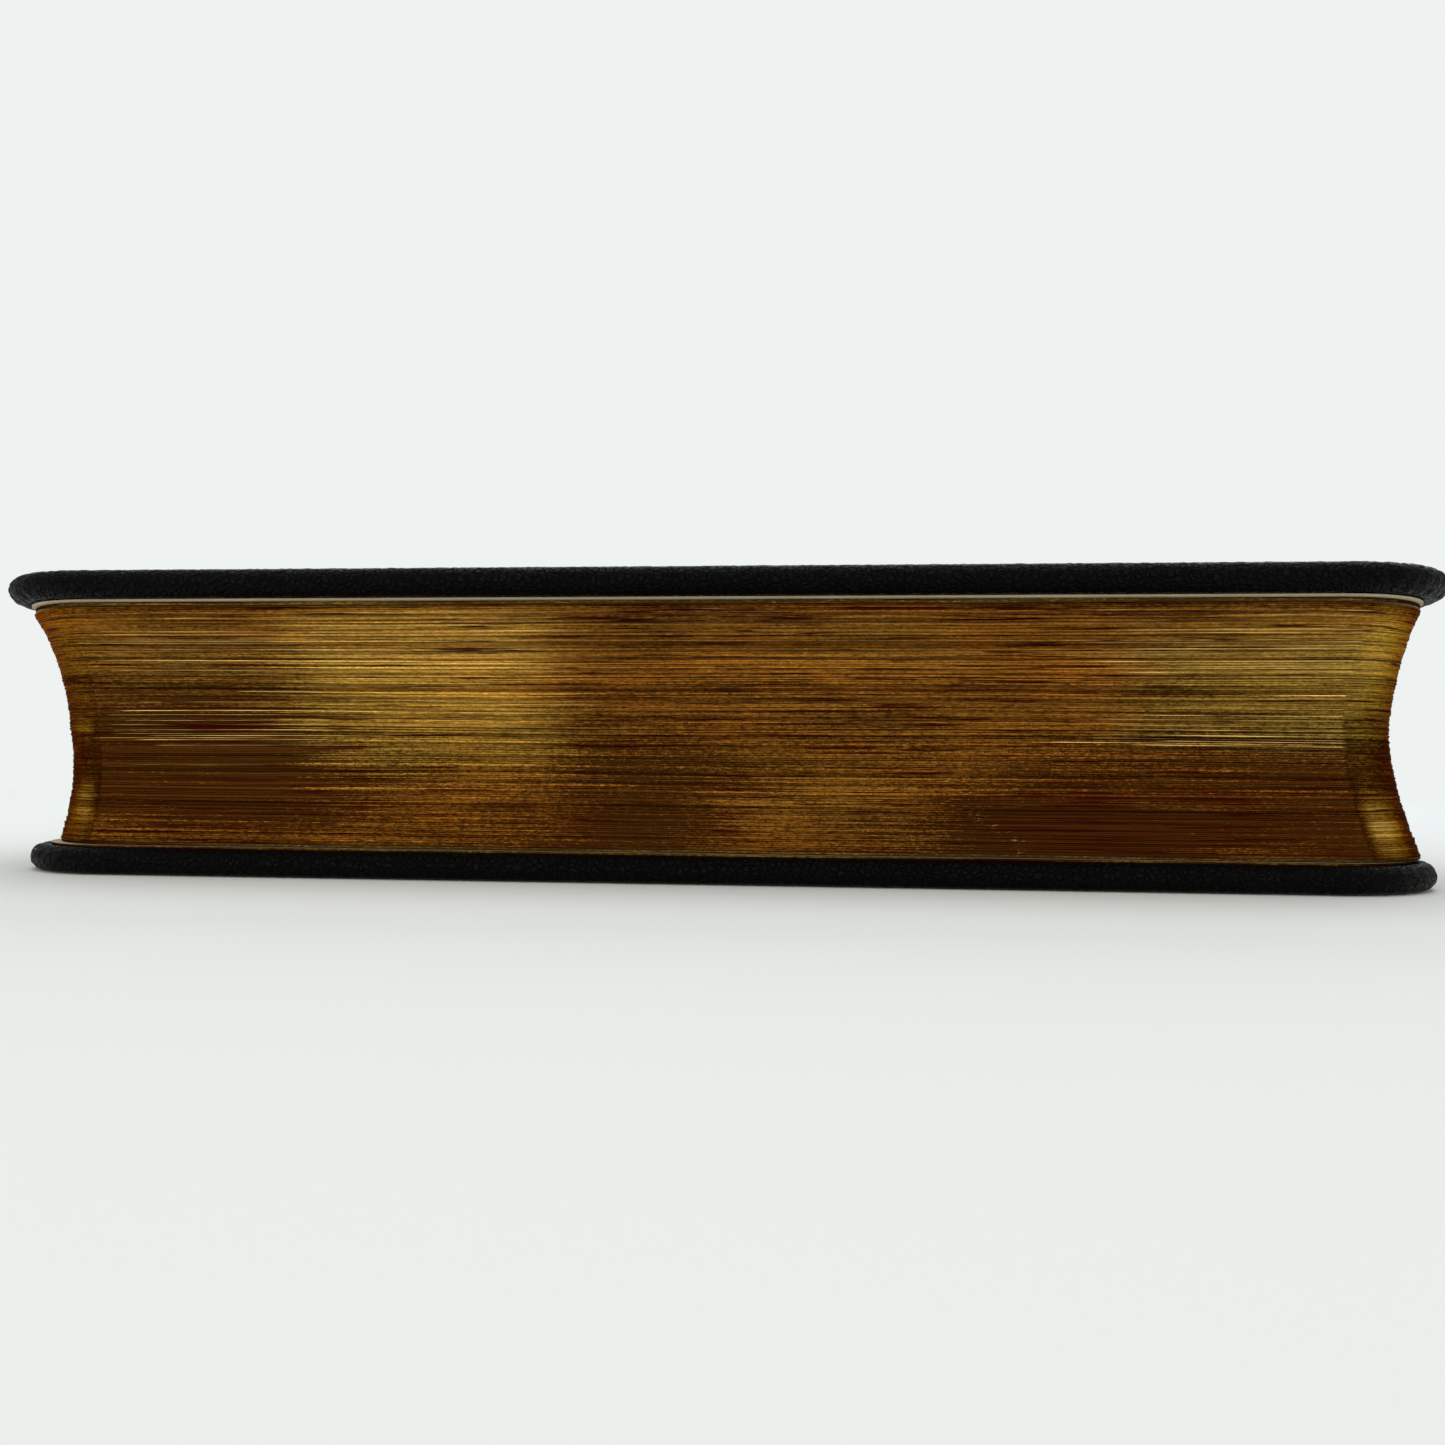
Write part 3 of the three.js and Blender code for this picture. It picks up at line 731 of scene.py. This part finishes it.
def sheetGrid(half, fromY, toY, radius, fine, rowStep=1.0):
    straight = np.concatenate([np.arange(fromY, fine, -rowStep), np.linspace(fine, toY + radius, 9)])
    angles = np.linspace(0, math.pi / 2, 10)[1:]
    rowsY = np.concatenate([straight, toY + radius - radius * np.sin(angles)])
    halves = np.concatenate([np.full(len(straight), half), half - radius + radius * np.cos(angles)])
    fractions = np.linspace(-1, 1, endpaperSet["columns"])
    return fractions[None, :] * halves[:, None], np.repeat(rowsY[:, None], len(fractions), 1)


def thinSheet(name, x, y, low, high, rim):
    rowCount, columnCount = x.shape
    count = rowCount * columnCount
    points = np.concatenate([np.stack([x, y, z], 2).reshape(-1, 3) for z in (low, high)])
    index = np.arange(count).reshape(rowCount, columnCount)
    faces = []
    for i in range(rowCount - 1):
        for j in range(columnCount - 1):
            quad = [index[i, j], index[i, j + 1], index[i + 1, j + 1], index[i + 1, j]]
            faces.append(quad)
            faces.append([q + count for q in quad[::-1]])
    loop = [index[i, 0] for i in range(rowCount)] + [index[-1, j] for j in range(1, columnCount)]
    loop += [index[i, -1] for i in range(rowCount - 2, -1, -1)]
    loop += [index[0, j] for j in range(columnCount - 2, 0, -1)]
    for a, b in zip(loop, loop[1:] + loop[:1]):
        faces.append([a, b, b + count, a + count])
    sides = np.repeat([0, 1], count)
    edge = np.full(2 * count, -1)
    for k in loop:
        edge[k] = 0
        edge[k + count] = 1
    inset = np.minimum(np.abs(x).max() - np.abs(x), y - y.min())
    age = np.tile(endpaperSet["browning"][rim is gilt] * np.exp(-np.maximum(inset, 0).ravel() / 1.2), 2)
    kinds = [0] * (len(faces) - len(loop)) + [1] * len(loop)
    piece = makePiece(name, points, faces, [laidPaper, rim], kinds, {"age": age},
                      sharp=[np.where(edge >= 0, sides, -1)])
    return piece


def buildFlyleaf(front):
    low, high = boxOf("front_flyleaf" if front else "back_flyleaf")
    foldEnd = boxOf("front_endpaper_hinge")[1][1]
    x, y = sheetGrid(leafHalf, foldEnd, low[1], blockSet["cornerRadius"], flyInnerY - 2)
    sag = endpaperSet["sagShare"] * sagAt(x, y, np.full_like(x, low[2])) if front else 0 * x
    x = x + leanAt(y, low[2], blockSet["lean"])
    grow = 0.05 if front else 0
    piece = thinSheet("front_free_endpaper" if front else "back_free_endpaper", x, y,
                      low[2] - grow + sag, high[2] + grow + sag, gilt)
    if front:
        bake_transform(piece)
        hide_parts("front_flyleaf", "front_endpaper_hinge")
    else:
        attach(piece, "text_block")
        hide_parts("back_flyleaf")


# pasted over the board and the turned-in leather, which shows through as a slight step, then over the joint
def buildPastedown(front):
    half = coverHalf - endpaperSet["pastedownMargin"]
    foldEnd = boxOf("front_endpaper_hinge")[1][1] - 0.1
    radius = caseSet["corner"] - endpaperSet["pastedownMargin"]
    x, y = sheetGrid(half, foldEnd, foreY + endpaperSet["pastedownMargin"], radius, boardEndY - 2, 0.6)
    inset = np.minimum(coverHalf - np.abs(x), y - foreY)
    overTurnIn = smoothstep((endpaperSet["turnIn"] + 0.5 - inset) / 1.0)
    onBoard = smoothstep((boardEndY + 0.6 - y) / 1.2)
    narrow = 1 - (1 - onBoard) * (1 - (leafHalf - 0.5) / half)
    x = x * narrow
    low = plate + 0.03 + 0.03 * (1 - onBoard)
    high = low + 0.15 + 0.035 * overTurnIn * onBoard - 0.02 * (1 - onBoard)
    if front:
        low, high = bookHeight - high, bookHeight - low
    else:
        x = x + leanAt(y, 0, blockSet["coverLean"])
    piece = thinSheet("front_pasted_endpaper" if front else "back_pasted_endpaper", x, y, low, high,
                      laidPaper if front else gilt)
    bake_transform(piece)
    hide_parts("front_pastedown" if front else "back_pastedown")


for front in (True, False):
    buildFlyleaf(front)
    buildPastedown(front)
print("endpapers made")


def grooveAt(y):
    t = np.clip((y - boardEndY) / (shoulderY - boardEndY), 0, 1)
    return caseSet["grooveDepth"] * np.sin(math.pi * t) ** 2


def coverTopAt(y):
    onBoard = smoothstep((boardEndY + 1.2 - y) / 1.6)
    return (grooveAt(y) + caseSet["doubled"]) * (1 - onBoard) + plate * onBoard


# 0 in the creases between pebbles, 1 on their crests
def pebbleAt(point):
    (nearest, second, *_), _ = noise.voronoi(Vector(point) / caseSet["pebble"])
    return min(1.0, (second - nearest) / 0.4)


# U-shaped rings, by their distance in from the edge or their angle round it: from the end of the turn-in,
# round the edge, then across the outer face to its middle
def buildCoverLeather(front):
    name = "front" if front else "back"
    grooveRows = np.linspace(caseSet["seamY"], boardEndY - 1.5, 14)
    edge, corner = caseSet["edge"], caseSet["corner"]
    turnIns = [(d, "in") for d in (14.0, 13.0, 10.0, 7.0, 4.5, 2.6, 1.8)]
    rounds = [(a, "edge") for a in np.linspace(90, -90, caseSet["edgeRings"])]
    outers = [(d, "out") for d in (1.9, 2.6, 4.0, 6.0, 9.0, 13.0, 18.0, 24.0, 32.0, 42.0, 52.0, 62.0, 73.0)]
    rings, thickness, wearAndRimSheen, relief = [], [], [], []
    for value, kind in turnIns + rounds + outers:
        angle = math.radians(value) if kind == "edge" else 0
        inset = edge - edge * math.cos(angle) if kind == "edge" else value
        radius = max(corner - inset, 0.4)
        halfX = coverHalf - inset
        frontY = foreY + inset
        legEnd = min(frontY + radius, boardEndY - 2)
        legY = np.concatenate([grooveRows, np.linspace(boardEndY - 1.5, legEnd, caseSet["legPoints"])[1:]])
        arc = np.linspace(0, math.pi / 2, caseSet["arcPoints"])[1:-1]
        arcX = halfX - radius + radius * np.cos(arc)
        arcY = legEnd - radius * np.sin(arc)
        frontX = np.linspace(halfX - radius, -(halfX - radius), caseSet["frontPoints"])
        x = np.concatenate([np.full(len(legY), halfX), arcX, frontX, -arcX[::-1],
                            np.full(len(legY), -halfX)])
        y = np.concatenate([legY, arcY, np.full(len(frontX), frontY), arcY[::-1], legY[::-1]])
        turn = np.concatenate([np.full(len(legY), -1.0), arc, np.full(len(frontX), -1.0), arc[::-1],
                               np.full(len(legY), -1.0)])
        low, high = grooveAt(y), coverTopAt(y)
        half = (high - low) / 2
        pleat = np.where(turn >= 0, np.cos(turn * 4 * caseSet["pleatsPerCorner"]) * np.sin(2 * turn), 0)
        if kind == "edge":
            under = smoothstep((math.sin(angle) + 0.4) / 1.2)
            z = (low + high) / 2 + half * math.sin(angle)
            push = caseSet["pleat"] * 0.5 * pleat * under + caseSet["pleat"] * 0.5 * under
            x = x - np.where(turn >= 0, np.cos(turn) * np.sign(x), 0) * push
            y = y + np.where(turn >= 0, np.sin(turn), 0) * push
            thickness.append(np.full(len(x), caseSet["thickness"] * (1 - under) + 0.6 * under))
            # painted rim highlight: grey specks on the rounding near the outer face, where light grazes the
            # top edge of the front cover; the rest of this mark is rubbing
            rim = 0.55 * math.exp(-((value + 68) / 13) ** 2)
            wearAndRimSheen.append(np.full(len(x), 0.2 + rim) + np.where(turn >= 0, 0.22 * np.sin(2 * turn), 0))
        elif kind == "in":
            fade = smoothstep((9 - inset) / 6)
            z = high - caseSet["pleat"] * fade * (0.5 + 0.5 * pleat) * (turn >= 0)
            thickness.append(np.full(len(x), caseSet["turnInThickness"]))
            wearAndRimSheen.append(np.zeros(len(x)))
        else:
            z = low
            thickness.append(np.full(len(x), caseSet["thickness"]))
            wearAndRimSheen.append(np.full(len(x), 0.12 * math.exp(-inset / 3)))
        share = (0.3 if kind == "in" else 1) * math.exp(-inset / 12)
        relief.append(caseSet["relief"] * share * np.where(turn >= 0, 1 + 0.8 * np.sin(2 * turn), 1))
        rings.append(np.stack([x, y, z], 1))
    ringCount, pathCount = len(rings), len(rings[0])
    skin = np.concatenate(rings)
    index = np.arange(ringCount * pathCount).reshape(ringCount, pathCount)
    for k in range(pathCount // 2):  # the last ring folds on itself along the middle of the cover
        index[-1, pathCount - 1 - k] = index[-1, k]
    quads = []
    for r in range(ringCount - 1):
        for k in range(pathCount - 1):
            quad = [index[r, k], index[r, k + 1], index[r + 1, k + 1], index[r + 1, k]]
            quad = [q for n, q in enumerate(quad) if q not in quad[:n]]
            if len(quad) > 2:
                quads.append(quad)
    edgeLoop = list(index[0]) + list(index[1:, -1])[:-1] + list(index[1:, 0])[::-1]
    skin[index[-1, :pathCount // 2 + 1], 0] = 0
    piece = closedSkin(f"{name}_cover_leather", skin, quads, edgeLoop, np.concatenate(thickness),
                       np.concatenate(relief), {"wearAndRimSheen": np.concatenate(wearAndRimSheen)}, front)
    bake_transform(piece)
    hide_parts(f"{name}_leather", f"{name}_joint_leather")


# gives a skin its thickness: the inner side is the outer one moved along its normals, and a rim joins them
def closedSkin(name, points, faces, rim, thickness, relief, marks, mirrored):
    normals = np.zeros_like(points)
    for face in faces:
        corners = points[face]
        if len(corners) == 4:
            normal = np.cross(corners[2] - corners[0], corners[3] - corners[1])
        else:
            normal = np.cross(corners[1] - corners[0], corners[2] - corners[0])
        normals[face] += normal
    normals /= np.maximum(np.linalg.norm(normals, axis=1, keepdims=True), 1e-12)
    used = np.zeros(len(points), bool)
    used[[q for f in faces for q in f]] = True
    inner = points - normals * thickness[:, None]
    grain = np.array([pebbleAt(p) for p in points + [0, 0, 50 * mirrored]])
    points = points + normals * (relief * (grain - 0.6))[:, None]
    count = len(points)
    allFaces = [list(f) for f in faces] + [[q + count for q in f[::-1]] for f in faces]
    for a, b in zip(rim, rim[1:] + rim[:1]):
        allFaces.append([b, a, a + count, b + count])
    points = np.concatenate([points, inner])
    keep = np.concatenate([used, used])
    renumber = np.cumsum(keep) - 1
    allFaces = [[renumber[q] for q in f] for f in allFaces]
    if mirrored:
        points = points * [1, 1, -1] + [0, 0, bookHeight]
        allFaces = [f[::-1] for f in allFaces]
    else:
        points[:, 0] += leanAt(points[:, 1], 0, blockSet["coverLean"])
    marks = {key: np.concatenate([v, v])[keep] for key, v in marks.items()}
    return makePiece(name, points[keep], allFaces, [goatskin], marks=marks)


# the spine's leather: a closed section along X, carried over the arc from joint to joint
def buildSpineLeather():
    sagitta = spineY - shoulderY
    radius = (middle ** 2 + sagitta ** 2) / (2 * sagitta)
    centreY = spineY - radius
    half = math.asin(middle / radius)
    arc = [(centreY + radius * math.cos(a), middle + radius * math.sin(a))
           for a in np.linspace(-half, half, 41)]
    fore = [(y, float(grooveAt(y))) for y in np.linspace(caseSet["seamY"], shoulderY - 0.25, 5)]
    line = np.array(fore + arc[1:-1] + [(y, bookHeight - z) for y, z in fore[::-1]])
    for _ in range(3):  # soften the ridge where the spine turns into the joint
        line[3:-3] = (line[2:-4] + 2 * line[3:-3] + line[4:-2]) / 4
    along = np.gradient(line, axis=0)
    along /= np.linalg.norm(along, axis=1, keepdims=True)
    outward = np.stack([along[:, 1], -along[:, 0]], 1)
    share = np.linspace(0, 1, len(line))
    lip = 1.2 + 0.4 * smoothstep(np.minimum(share, 1 - share) / 0.15)
    end = coverHalf
    rim = [(0.75, -0.9), (0.7, -1.0), (0.35, -1.02), (0.02, -0.62), (0.1, -0.28), (0.35, -0.06), (0.8, 0.0)]
    section = [(d - end, h) for d, h in rim] + [(x, 0.0) for x in np.linspace(-end + 4, end - 4, 35)]
    section += [(end - d, h) for d, h in rim[::-1]]
    section += [(x, -0.9) for x in np.linspace(end - 4, -end + 4, 35)]
    section = np.array(section)
    deep = section[:, 1] < -0.95
    points, wearAndRimSheen = [], []
    for (y, z), (ny, nz), depth in zip(line, outward, lip):
        h = np.where(deep, -depth, section[:, 1])
        points.append(np.stack([section[:, 0], y + ny * h, z + nz * h], 1))
        wearAndRimSheen.append(0.5 * np.exp(-(end - np.abs(section[:, 0])) / 2.5) + 0.06)
    count, around = len(points), len(section)
    faces = []
    for i in range(count - 1):
        for k in range(around):
            n = (k + 1) % around
            faces.append([i * around + k, (i + 1) * around + k, (i + 1) * around + n, i * around + n])
    faces.append(list(range(around)))
    faces.append([(count - 1) * around + k for k in range(around)][::-1])
    piece = makePiece("spine_cover_leather", np.concatenate(points), faces, [goatskin],
                      marks={"wearAndRimSheen": np.concatenate(wearAndRimSheen)})
    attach(piece, "text_block")
    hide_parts("spine_leather")


buildCoverLeather(True)
buildCoverLeather(False)
buildSpineLeather()
print("leather made")


endBandSet = {"thread": 0.3, "ridge": 0.05, "around": 14}


# a cord wound with silk: a ridge for each turn of the thread
def buildEndBand(node, side):
    low, high = boxOf(node)
    radius = (high[0] - low[0]) / 2 - endBandSet["ridge"]
    centreX = (low[0] + high[0]) / 2
    turns = int((high[2] - low[2]) / endBandSet["thread"])
    heights = np.linspace(low[2] + 0.1, high[2] - 0.1, turns * 4 + 1)
    points = []
    for k, z in enumerate(heights):
        y = foldY + shiftAt(z) - radius - 0.08
        swell = radius + endBandSet["ridge"] * math.sin(math.pi * k / 2) ** 2
        if k in (0, len(heights) - 1):
            swell = radius * 0.7
        for a in np.linspace(0, 2 * math.pi, endBandSet["around"], endpoint=False):
            points.append((centreX + swell * math.cos(a), y + swell * math.sin(a),
                           z + 0.1 * math.cos(a) * side * (0 < k < len(heights) - 1)))
    around = endBandSet["around"]
    faces = []
    for k in range(len(heights) - 1):
        for a in range(around):
            n = (a + 1) % around
            faces.append([k * around + a, k * around + n, (k + 1) * around + n, (k + 1) * around + a])
    faces.append(list(range(around))[::-1])
    faces.append([(len(heights) - 1) * around + a for a in range(around)])
    piece = makePiece(node + "_silk", points, faces, [silk])
    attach(piece, "text_block")
    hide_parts(node)


buildEndBand("head_band", 1)
buildEndBand("tail_band", -1)
print("end bands made")


def finishFrameNodes():
    finishes = {"board": pasteboard, "linen": linen, "band_silk": silk, "endpaper": laidPaper,
                "leather": goatskin, "gilt_leaves": biblePaper}
    for part in frame["record"]["subparts"]:
        node = frame["nodes"][part["node"]]
        if not node.hide_render:
            node.data.materials.clear()
            node.data.materials.append(finishes[part["material_slot"]])


finishFrameNodes()


studioSet = {"backdrop": "#EEF2F1", "room": 0.5, "floor": "#E8EBEB", "reach": 8.0,
             "sweepFrom": 0.16, "sweepTo": 0.5}  # metres from the book over which floor turns to backdrop


# the backdrop shows as one even pale tone, while the room it lights stays dim, so gloss keeps its depth
def buildStudio():
    mesh = bpy.data.meshes.new("floor")
    reach = studioSet["reach"]
    mesh.from_pydata([(-reach, -reach, 0), (reach, -reach, 0), (reach, reach, 0), (-reach, reach, 0)], [],
                     [(0, 1, 2, 3)])
    floor = addObject("floor", mesh)
    material, tree, shader = newMaterial("paleSweep")
    fillInputs(tree, shader, {"Base Color": srgb(studioSet["floor"]), "Roughness": 0.95,
                              "Specular IOR Level": 0.1})
    place = addNode(tree, "TexCoord")
    reached = addNode(tree, "VectorMath", {0: place.outputs["Object"]}, operation="LENGTH")
    fade = addNode(tree, "MapRange", {0: reached.outputs["Value"], 1: studioSet["sweepFrom"],
                                                2: studioSet["sweepTo"]}, interpolation_type="SMOOTHSTEP")
    glow = addNode(tree, "Emission", {"Color": srgb(studioSet["backdrop"])})
    mixed = addNode(tree, "MixShader", {0: fade, 1: shader, 2: glow})
    fillInputs(tree, tree.nodes["Material Output"], {"Surface": mixed})
    mesh.materials.append(material)
    world = bpy.data.worlds.new("studio")
    bpy.context.scene.world = world
    world.use_nodes = True
    tree = world.node_tree
    seen = tree.nodes["Background"]
    fillInputs(tree, seen, {"Color": srgb(studioSet["backdrop"])})
    room = addNode(tree, "Background", {"Color": srgb(studioSet["backdrop"]),
                                                  "Strength": studioSet["room"]})
    path = addNode(tree, "LightPath")
    mixed = addNode(tree, "MixShader", {0: path.outputs["Is Camera Ray"], 1: room, 2: seen})
    fillInputs(tree, tree.nodes["World Output"], {"Surface": mixed})


lightSet = {
    "overhead": {"place": (0, 60, 600), "size": (700, 600), "power": 2.1, "colour": "#FFFFFF"},
    "behind": {"place": (0, 480, 330), "size": (900, 300), "power": 1.3, "colour": "#F6FAFF"},
    "leftFront": {"place": (-262, -606, 150), "size": (200, 260), "power": 1.0, "colour": "#FFF4DC"},
    "rightFront": {"place": (262, -606, 150), "size": (200, 260), "power": 0.8, "colour": "#FFF4DC"},
}


def buildLights():
    for name, item in lightSet.items():
        data = bpy.data.lights.new(name, "AREA")
        data.shape = "RECTANGLE"
        data.size, data.size_y = (s * mm for s in item["size"])
        data.energy = item["power"]
        data.color = srgb(item["colour"])[:3]
        light = addObject(name, data)
        light.location = Vector(item["place"]) * mm
        aim = Vector((0, 0, middle * mm)) - light.location
        light.rotation_euler = aim.to_track_quat("-Z", "Y").to_euler()


buildStudio()
buildLights()
bpy.context.scene.view_settings.view_transform = "Standard"
print("studio made")
